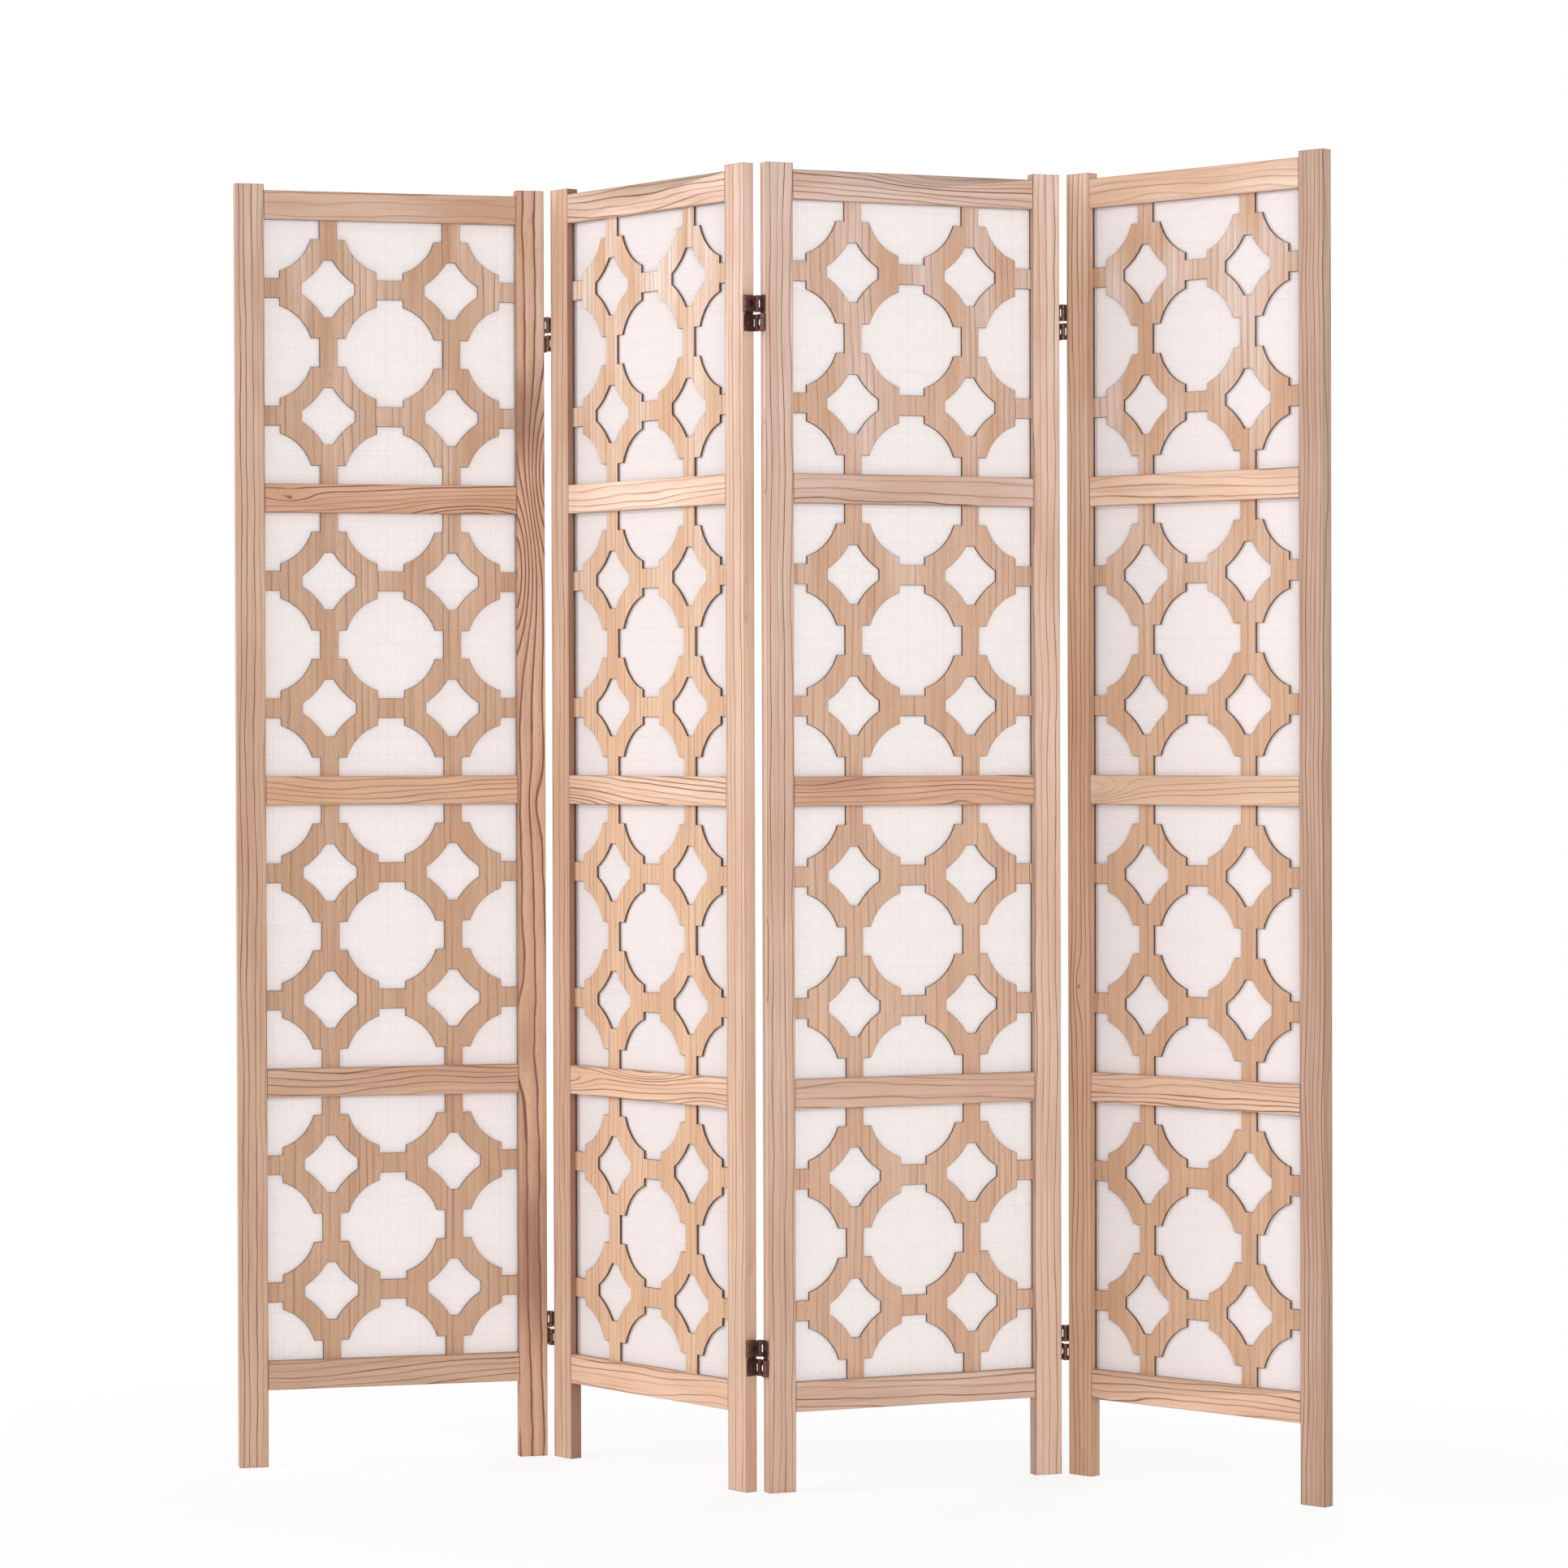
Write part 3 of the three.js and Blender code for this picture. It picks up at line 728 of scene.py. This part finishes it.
def weave(name, red, green, blue):
    """A plain weave with threads of one colour, each a little lighter or darker than the next."""
    finish = Finish(name)
    place = finish.node("ShaderNodeTexCoord", {}, {}, "Object")
    stretch = finish.noise(place, 7.0, 2.0, 0.5, 1)
    pulled = finish.node(
        "ShaderNodeVectorMath",
        {"operation": "MULTIPLY_ADD"},
        {0: stretch, 1: (PULL, PULL, PULL), 2: place},
    )
    x, _, z = finish.split(pulled)
    column, row = x * (1000 / THREAD_PITCH), z * (1000 / THREAD_PITCH)
    uneven = finish.noise(place, 420.0, 1.0)
    share = THREAD_SHARE / 2 * (0.8 + uneven * 0.4)
    upright = abs(column.math("FRACT") - 0.5)
    level = abs(row.math("FRACT") - 0.5)
    warp = 1.0 - (upright / share).math("MINIMUM", 1.0)
    weft = 1.0 - (level / share).math("MINIMUM", 1.0)
    thread = warp.math("MAXIMUM", weft)
    over = (column * math.pi).math("SINE") * (row * math.pi).math("SINE")
    picks = [
        finish.node("ShaderNodeTexWhiteNoise", {"noise_dimensions": "1D"}, {"W": n.math("FLOOR")})
        for n in (column, row)
    ]
    tone = finish.mix(uneven, rgb(red, green, blue), rgb(red + 4, green + 6, blue + 6))
    # Painted shade: the sides of the threads round each hole are darkened as if in shadow. The same
    # colour also makes a few whole threads a little darker.
    edge_shade_and_dark_thread = rgb(red * 0.88, green * 0.85, blue * 0.84)
    tone = finish.mix((1.0 - thread) * 0.8, tone, edge_shade_and_dark_thread)
    tone = finish.mix((picks[0].ramp(0.6, 1.0) + picks[1].ramp(0.6, 1.0)) * 0.13, tone, edge_shade_and_dark_thread)
    finish.set(
        Base_Color=tone,
        Roughness=0.86 + uneven * 0.1,
        Alpha=thread.math("GREATER_THAN", 0.001),
        Specular_IOR_Level=0.25,
    )
    finish.bump(thread.math("SQRT") + over * 0.25, THREAD_HEIGHT, 0.35)
    return finish.material


print(f"threads of {THREAD_PITCH * THREAD_SHARE:.1f} mm, one every {THREAD_PITCH} mm")

# %% Stretch the four cloths
# Painted light and shade: the same cloth gets a lighter colour on panels 1 and 3, which turn away
# from the left lamp, and a darker one on panels 2 and 4, which face it.
cloths = {
    1: weave("woven_mesh_painted_lighter_1", 250, 243, 243),
    2: weave("woven_mesh_painted_darker_2", 234, 225, 225),
    3: weave("woven_mesh_painted_lighter_3", 250, 244, 243),
    4: weave("woven_mesh_painted_darker_4", 237, 228, 228),
}
CLEARANCE, HALF_CLOTH, SLACK = 0.3, 0.4, 0.5
MESH_DEPTH = BOARD_FRONT + BOARD_THICKNESS + CLEARANCE + HALF_CLOTH
cloth_width = BAY_WIDTH + 2 * BOARD_REACH
cloth_height = BOARD_HIGH - BOARD_LOW
for number, cloth in cloths.items():
    grid = bmesh.new()
    bmesh.ops.create_grid(grid, x_segments=24, y_segments=96, size=0.5)
    for corner in grid.verts:
        across, up = corner.co.x, corner.co.y
        bay = (up + 0.5) * 4 % 1
        slack = math.sin(math.pi * bay) * math.cos(math.pi * across) * math.sin(up * 40 + number)
        corner.co = (
            (PANEL_WIDTH / 2 + across * cloth_width) * MM,
            (MESH_DEPTH + SLACK * slack) * MM,
            (BOARD_LOW + (up + 0.5) * cloth_height) * MM,
        )
    body, name = f"panel_{number}", f"panel_{number}_woven_mesh"
    mesh = bpy.data.meshes.new(name)
    grid.to_mesh(mesh)
    grid.free()
    sheet = add(name, mesh, PANELS[number - 1], body, cloth)
    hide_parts(f"panel_{number}_mesh")
print(f"four sheets of {cloth_width:.0f} by {cloth_height:.0f} mm")

# %% [markdown]
# ## The two-way hinges
# Each hinge is a small mechanism: a leaf on each panel edge, and two links that join the pins in
# front of the panels and behind them. The leaves are stamped and rolled from sheet and plated dark
# bronze, and the plating rubs off along the edges. The CAD pieces have six-sided knuckles. Here
# they are made again with round ones, and with the screws that hold the leaves.

# %% Bronze
GRIT_HEIGHT = 0.00002


def bronze():
    finish = Finish("dark_bronze")
    place = finish.node("ShaderNodeTexCoord", {}, {}, "Object")
    patina = finish.noise(place, 190.0, 3.0, 0.6)
    grit = finish.noise(place, 2400.0, 2.0)
    edge = finish.node("ShaderNodeNewGeometry", {}, {}, "Pointiness").ramp(0.52, 0.60)
    tone = finish.mix(patina.ramp(0.35, 0.7), rgb(62, 36, 34), rgb(84, 50, 45))
    tone = finish.mix(edge * 0.5, tone, rgb(140, 98, 82))
    finish.set(Base_Color=tone, Metallic=0.6, Roughness=0.38 + patina * 0.15)
    finish.bump(grit, GRIT_HEIGHT, 0.3)
    return finish.material


bronze_finish = bronze()
print("bronze with worn edges")

# %% Boxes, barrels and plates
def box_into(form, x, y, z):
    made = bmesh.ops.create_cube(form, size=1.0)["verts"]
    for corner in made:
        for axis, (low_end, high_end) in enumerate((x, y, z)):
            corner.co[axis] = low_end if corner.co[axis] < 0 else high_end


def tube_into(form, radius, bore, y, z, sides=28):
    """An upright barrel, with a bore unless that is 0, and a small bevel round each end."""
    ease = min(0.25, radius * 0.2)
    low_end, high_end = z
    profile = [(radius - ease, low_end), (radius, low_end + ease)]
    profile += [(radius, high_end - ease), (radius - ease, high_end)]
    profile += [(bore, high_end), (bore, low_end)]
    rings = []
    for distance, height in profile:
        turns = [2 * math.pi * i / sides for i in range(sides)] if distance else [0.0]
        corners = [(distance * math.sin(t), y - distance * math.cos(t), height) for t in turns]
        rings.append([form.verts.new(corner) for corner in corners])
    for one, other in zip(rings, rings[1:] + rings[:1]):
        for i in range(sides):
            corners = [
                one[i % len(one)],
                one[(i + 1) % len(one)],
                other[(i + 1) % len(other)],
                other[i % len(other)],
            ]
            unique = list(dict.fromkeys(corners))
            if len(unique) > 2:
                form.faces.new(unique)


def plate_into(form, x, half_y, z, holes):
    """A plate with round holes, drawn as rings of corners round each hole. Where the rings of two
    holes meet, the plate goes on, so it gets no wall there."""
    sides = 24
    low_z, high_z = z
    cuts = [low_z, *[(a[0] + b[0]) / 2 for a, b in zip(holes, holes[1:])], high_z]
    for (centre, radius), floor_z, ceiling_z in zip(holes, cuts, cuts[1:]):
        rim, outer = [], []
        for i in range(sides):
            t = 2 * math.pi * (i + 0.5) / sides
            c, s = math.cos(t), math.sin(t)
            rim.append((radius * c, centre + radius * s))
            up = (ceiling_z - centre) if s > 0 else (centre - floor_z)
            k = min(half_y / max(abs(c), 1e-6), up / max(abs(s), 1e-6))
            outer.append((k * c, centre + k * s))
        layers = [
            [[form.verts.new((depth, y, h)) for y, h in ring] for ring in (rim, outer)]
            for depth in x
        ]
        for i in range(sides):
            j = (i + 1) % sides
            (rim_a, out_a), (rim_b, out_b) = layers
            form.faces.new((rim_a[i], rim_a[j], out_a[j], out_a[i]))
            form.faces.new((out_b[i], out_b[j], rim_b[j], rim_b[i]))
            form.faces.new((rim_b[i], rim_b[j], rim_a[j], rim_a[i]))
            heights = (outer[i][1], outer[j][1])
            if not any(math.dist(heights, (cut, cut)) < 1e-6 for cut in cuts[1:-1]):
                form.faces.new((out_a[i], out_a[j], out_b[j], out_b[i]))
    bmesh.ops.remove_doubles(form, verts=form.verts, dist=0.001)


def finished(form, name):
    for corner in form.verts:
        corner.co *= MM
    bmesh.ops.recalc_face_normals(form, faces=form.faces)
    mesh = bpy.data.meshes.new(name)
    form.to_mesh(mesh)
    form.free()
    mesh.shade_smooth()
    mesh.set_sharp_from_angle(angle=math.radians(35))
    return mesh


print("boxes, barrels and plates can be drawn into one mesh")

# %% Leaf, link and screw
HINGE_HEIGHT, HINGE_SPLIT, LEAF = 46.0, 3.0, 1.0
KNUCKLE, PIN, LINK_KNUCKLE, PLAY, PIN_PLAY = 2.85, 1.1, 8.8, 0.3, 0.1
HINGE_HALF = (HINGE_HEIGHT - HINGE_SPLIT) / 2
HALF_CENTRE = (HINGE_HEIGHT + HINGE_SPLIT) / 4
SEAT = PLAY - HINGE_GAP / 2
ARM_INSET, LINK_INSET, OVERLAP, BITE = 2.5, 3.28, 1.0, 0.6
SCREW_HOLE, LINK_HOLE = 2.0, 4.0
RECESS_REACH, RECESS_DEPTH, RECESS_EDGE = 1.5, 0.5, 0.82


def leaf_mesh():
    form = bmesh.new()
    arm = (PIN_Y - ARM_INSET, PIN_Y - ARM_INSET + LEAF)
    holes = [(-HALF_CENTRE, SCREW_HOLE), (HALF_CENTRE, SCREW_HOLE)]
    plate_into(form, (SEAT, SEAT + LEAF), arm[1], (-HINGE_HEIGHT / 2, HINGE_HEIGHT / 2), holes)
    length = (HINGE_HALF - LINK_KNUCKLE) / 2 - PLAY
    for half in (1, -1):
        y, middle, reach = -half * PIN_Y, half * HALF_CENTRE, LINK_KNUCKLE / 2 + PLAY
        span = (-arm[1], -arm[0]) if half > 0 else arm
        tube_into(form, PIN, 0, y, (middle - reach, middle + reach), 16)
        for z in (middle - HINGE_HALF / 2, middle + reach):
            tube_into(form, KNUCKLE, 0, y, (z, z + length))
            box_into(form, (SEAT, 0), span, (z, z + length))
    return finished(form, "hinge_leaf")


def link_mesh():
    form = bmesh.new()
    neck, side, holes = LINK_KNUCKLE / 2, PIN_Y - LINK_INSET, [(0.0, LINK_HOLE)]
    plate_into(form, (-LEAF / 2, LEAF / 2), side, (-HINGE_HALF / 2, HINGE_HALF / 2), holes)
    for y in (-PIN_Y, PIN_Y):
        tube_into(form, KNUCKLE, PIN + PIN_PLAY, y, (-neck, neck))
        edge = math.copysign(KNUCKLE - BITE, -y) + y
        inner = math.copysign(side - OVERLAP, y)
        box_into(form, (-LEAF / 2, LEAF / 2), tuple(sorted((edge, inner))), (-neck, neck))
    return finished(form, "hinge_link")


def screw_mesh():
    """A countersunk screw head with a cross recess, on the leaf and facing the gap."""
    form = bmesh.new()
    profile = [(0.0, 0.62), (0.9, 0.66), (1.9, 0.42), (2.35, 0.08), (2.0, -0.5)]
    sides = 32
    rings = []
    for distance, rise in profile:
        ring = []
        for i in range(sides if distance else 1):
            t = 2 * math.pi * i / sides
            cross = max(0.0, abs(math.cos(2 * t)) - RECESS_EDGE) / (1 - RECESS_EDGE)
            sink = RECESS_DEPTH * cross if distance < RECESS_REACH else 0.0
            corner = (rise - sink, distance * math.cos(t), distance * math.sin(t))
            ring.append(form.verts.new(corner))
        rings.append(ring)
    for one, other in zip(rings, rings[1:]):
        for i in range(sides):
            corners = [one[i % len(one)], one[(i + 1) % len(one)], other[(i + 1) % sides], other[i]]
            form.faces.new(list(dict.fromkeys(corners)))
    form.faces.new(rings[-1])
    return finished(form, "hinge_screw")


leaf, link, screw = leaf_mesh(), link_mesh(), screw_mesh()
print("leaf", len(leaf.polygons), "link", len(link.polygons), "screw", len(screw.polygons), "faces")

# %% Fit the hinges
HINGE_HEIGHTS = {"top": HEIGHT - 192, "bottom": 172.0}
JOINTS = (("1_2", 1, 2, "front"), ("2_3", 2, 3, "rear"), ("3_4", 3, 4, "front"))
PLATE_EASE = 0.00012


def hinge_place(panel, edge, height, turn=0.0):
    x = PANEL_WIDTH + HINGE_GAP / 2 if edge == "right" else -HINGE_GAP / 2
    local = Matrix.Translation((x * MM, FRAME_THICKNESS / 2 * MM, height * MM))
    return PANELS[panel - 1] @ local @ Matrix.Rotation(turn, 4, "Z")


def fitted(name, mesh, place, panel):
    """A copy of a hinge piece, turned in its mesh, so that its box stays as small as it is."""
    made = mesh.copy()
    made.transform(place.to_3x3().to_4x4())
    where = Matrix.Translation(place.translation)
    return add(name, made, where, f"panel_{panel}", bronze_finish)


def rounded(name, mesh, place, panel):
    piece = fitted(name, mesh, place, panel)
    ease = piece.modifiers.new("eased edges", "BEVEL")
    ease.width = PLATE_EASE
    ease.segments = 1
    ease.limit_method = "ANGLE"
    ease.angle_limit = math.radians(60)
    return piece


screws = 0
for joint, left, right, folds_on in JOINTS:
    for position, height in HINGE_HEIGHTS.items():
        base = f"hinge_{joint}_{position}"
        sides = (("left", left, "right", 0), ("right", right, "left", math.pi))
        for side, panel, edge, turn in sides:
            place = hinge_place(panel, edge, height, turn)
            made = rounded(f"{base}_{side}_leaf_round", leaf, place, panel)
            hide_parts(f"{base}_{side}_leaf")
            for half in (1, -1):
                seat = Matrix.Translation(((SEAT + LEAF) * MM, 0, half * HALF_CENTRE * MM))
                twist = Matrix.Rotation(0.5 + screws * 1.3, 4, "X")
                name = f"{base}_{side}_screw_{'upper' if half > 0 else 'lower'}"
                fitted(name, screw, place @ seat @ twist, panel)
                screws += 1
        for half, kind in ((1, "upper_link"), (-1, "lower_link")):
            with_left = folds_on == ("rear" if half > 0 else "front")
            panel, edge = (left, "right") if with_left else (right, "left")
            place = hinge_place(panel, edge, height + half * HALF_CENTRE)
            made = rounded(f"{base}_{kind}_round", link, place, panel)
            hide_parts(f"{base}_{kind}")
print("12 leaves, 12 links and", screws, "screws")

# %% [markdown]
# ## Floor, backdrop and light
# The picture is a studio shot on white. The background is white for the eye only: the floor and the
# world answer camera rays with plain white, and light the object no more than a pale room would.
# A large soft lamp on the left is brighter on the panels that face left, and a weaker one on the
# right keeps the others open. A third one, behind, lights the back for a walk round the screen.

# %% Floor
WHITE = (1, 1, 1, 1)
SHADOW_SHARE = 0.2
FLOOR_SIZE, BELOW_THE_FEET = 30, 0.0005


def seen_rays(nodes):
    """1 for the rays that show a backdrop: straight to the eye, in gloss, or through glass."""
    ray = nodes.node("ShaderNodeLightPath", {}, {}).socket.node.outputs
    names = ("Is Camera Ray", "Is Glossy Ray", "Is Transmission Ray")
    camera_ray, glossy_ray, clear_ray = (Value(nodes, ray[name]) for name in names)
    return (camera_ray + glossy_ray + clear_ray).math("MINIMUM", 1.0)


def floor_finish():
    """White to the eye far from the screen. Near it, a part of the real light shows the shadow."""
    finish = Finish("studio_floor")
    finish.set(Base_Color=(0.9, 0.9, 0.9, 1), Roughness=0.9)
    x, y, _ = finish.split(finish.node("ShaderNodeTexCoord", {}, {}, "Object"))
    near = 1.0 - ((x * 0.7) ** 2 + y ** 2).math("SQRT").ramp(0.2, 1.2)
    white = finish.node("ShaderNodeEmission", {}, {"Color": WHITE, "Strength": 1.0})
    lit = Value(finish, finish.shader.outputs[0])
    share = seen_rays(finish) * (1.0 - near * SHADOW_SHARE)
    both = finish.node("ShaderNodeMixShader", {}, {0: share, 1: lit, 2: white})
    finish.connect(finish.tree.nodes["Material Output"].inputs["Surface"], both)
    return finish.material


ground = bmesh.new()
bmesh.ops.create_grid(ground, x_segments=1, y_segments=1, size=FLOOR_SIZE)
floor_mesh = bpy.data.meshes.new("studio_floor")
ground.to_mesh(floor_mesh)
ground.free()
floor = bpy.data.objects.new("studio_floor", floor_mesh)
floor.location.z = -BELOW_THE_FEET
bpy.context.scene.collection.objects.link(floor)
floor_mesh.materials.append(floor_finish())
print("floor down")

# %% World and lamps
ROOM_LIGHT = 0.5
world = bpy.data.worlds.new("pale_room")
world.use_nodes = True
bpy.context.scene.world = world
air = Nodes(world.node_tree)
air.tree.nodes.remove(air.tree.nodes["Background"])
room = air.node("ShaderNodeBackground", {}, {"Color": WHITE, "Strength": ROOM_LIGHT})
plain = air.node("ShaderNodeBackground", {}, {"Color": WHITE, "Strength": 1.0})
choice = air.node("ShaderNodeMixShader", {}, {0: seen_rays(air), 1: room, 2: plain})
air.connect(air.tree.nodes["World Output"].inputs["Surface"], choice)


def lamp(name, place, target, size, power, color):
    light = bpy.data.lights.new(name, "AREA")
    light.shape = "RECTANGLE"
    light.size, light.size_y = size
    light.energy = power
    light.color = color
    made = bpy.data.objects.new(name, light)
    bpy.context.scene.collection.objects.link(made)
    made.location = place
    made.rotation_euler = (Vector(target) - Vector(place)).to_track_quat("-Z", "Y").to_euler()


MIDDLE = (0, 0, 0.85)
lamp("key_left", (-4.6, -2.2, 2.4), MIDDLE, (2.4, 2.4), 150, (1.0, 0.99, 0.98))
lamp("fill_right", (2.9, -4.6, 2.0), MIDDLE, (2.6, 2.4), 118, (1.0, 1.0, 1.0))
lamp("behind", (0.6, 5.4, 2.6), MIDDLE, (3.2, 2.4), 120, (1.0, 1.0, 1.0))
bpy.context.scene.view_settings.view_transform = "Standard"
print("three lamps and a pale room")

# %% Finish
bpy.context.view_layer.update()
